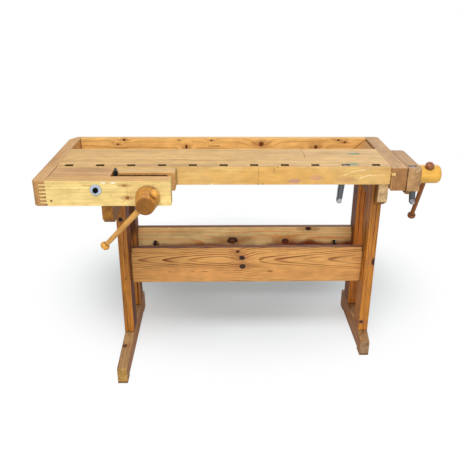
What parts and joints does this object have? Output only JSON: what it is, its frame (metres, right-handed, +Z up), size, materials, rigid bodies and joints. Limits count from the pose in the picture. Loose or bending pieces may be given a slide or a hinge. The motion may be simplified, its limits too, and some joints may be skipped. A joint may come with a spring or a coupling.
{
  "type": "woodworking bench",
  "caption": "Wooden joiner's bench with a row of leaning dog holes, a rear tool tray, a front shoulder vise, an end vise on the right and a trestle of two post frames joined by stretchers.",
  "frame": {"origin": "on the floor, in the middle of the bench's overall length and depth", "axes": "+X to the right towards the end vise, +Y to the back towards the tool tray, +Z up"},
  "size_m": [1.534, 0.738, 0.853],
  "materials": {
    "beech_top": "oiled, worn",
    "beech_beam": "oiled, worn",
    "beech_ends": "oiled, worn",
    "pine_rail": "oiled",
    "pine_tray": "oiled, worn",
    "pine_stand": "oiled, worn",
    "pine_stretcher": "oiled",
    "hub_orange": "lacquered, worn",
    "hub_yellow": "lacquered",
    "bar_light": "worn smooth",
    "bar_dark": "worn smooth",
    "knob_brown": "lacquered",
    "dog_steel": "ground",
    "spring_steel": "polished",
    "screw_steel": "machined",
    "zinc_plated": "zinc plated",
    "black_steel": "blackened",
    "cast_nut": "as cast",
    "black_plastic": "matte"
  },
  "bodies": {
    "bench": {"top_slab": "beech_top", "front_rail": "beech_beam", "dog_strip": "beech_top", "left_end_cap": "beech_ends", "right_end_cap": "beech_ends", "back_rail": "pine_rail", "tray_bottom": "pine_tray", "tray_ramp": "pine_rail", "fixed_block": "beech_ends", "vise_beam": "beech_beam", "beam_bolt": "black_steel", "beam_washer": "zinc_plated", "beam_nut": "black_steel", "beam_bolt_anchor": "screw_steel", "front_nut": "cast_nut", "tail_nut": "cast_nut", "post_left_front": "pine_stand", "post_left_rear": "pine_stand", "post_right_front": "pine_stand", "post_right_rear": "pine_stand", "bearer_left": "pine_stand", "bearer_right": "pine_stand", "foot_left": "pine_stand", "foot_right": "pine_stand", "foot_pads": "pine_stretcher", "stretcher_front": "pine_stretcher", "stretcher_rear": "pine_stretcher", "stretcher_bolts": "zinc_plated", "stretcher_washers": "zinc_plated", "stretcher_nuts": "black_steel", "lap_screws": "zinc_plated", "lag_screws": "zinc_plated"},
    "front_chop": {"front_chop": "beech_ends", "chop_guide_shoe": "black_plastic", "front_garter_plate": "zinc_plated"},
    "front_screw": {"front_screw": "screw_steel", "front_hub": "hub_orange"},
    "front_bar": {"front_bar": "bar_light", "front_bar_knobs": "bar_light"},
    "tail_jaw": {"tail_jaw": "beech_ends", "tail_guide_rods": "screw_steel", "tail_garter_plate": "zinc_plated", "jaw_dog_rest": "beech_ends"},
    "tail_screw": {"tail_screw": "screw_steel", "tail_hub": "hub_yellow"},
    "tail_bar": {"tail_bar": "bar_dark", "tail_bar_knobs": "knob_brown"},
    "bench_dog": {"bench_dog": "dog_steel", "bench_dog_spring": "spring_steel"},
    "jaw_dog": {"jaw_dog": "dog_steel", "jaw_dog_spring": "spring_steel"}
  },
  "joints": [
    {"name": "front_screw_turn", "type": "hinge", "parent": "front_chop", "child": "front_screw", "pos_m": [-0.361, -0.33, 0.789], "axis": [0, -1, 0], "range_deg": [0, 2520]},
    {"name": "front_chop_slide", "type": "slide", "parent": "bench", "child": "front_chop", "axis": [0, -1, 0], "range_m": [0, 0.0421]},
    {"name": "front_bar_slide", "type": "slide", "parent": "front_screw", "child": "front_bar", "axis": [0.6921, 0, 0.7218], "range_m": [0, 0.1755]},
    {"name": "tail_screw_turn", "type": "hinge", "parent": "tail_jaw", "child": "tail_screw", "pos_m": [0.7, -0.032, 0.799], "axis": [1, 0, 0], "range_deg": [0, 6600]},
    {"name": "tail_jaw_slide", "type": "slide", "parent": "bench", "child": "tail_jaw", "axis": [1, 0, 0], "range_m": [0, 0.1101]},
    {"name": "tail_bar_slide", "type": "slide", "parent": "tail_screw", "child": "tail_bar", "axis": [0, -0.4617, 0.887], "range_m": [0, 0.202]},
    {"name": "bench_dog_slide", "type": "slide", "parent": "bench", "child": "bench_dog", "axis": [0.0958, 0, 0.9954], "range_m": [0, 0.05]},
    {"name": "jaw_dog_slide", "type": "slide", "parent": "tail_jaw", "child": "jaw_dog", "axis": [-0.0958, 0, 0.9954], "range_m": [0, 0.05]}
  ],
  "couplings": [
    {"joint": "front_chop_slide", "follows": "front_screw_turn", "m_per_rad": 0.00095493},
    {"joint": "tail_jaw_slide", "follows": "tail_screw_turn", "m_per_rad": 0.00095493}
  ]
}
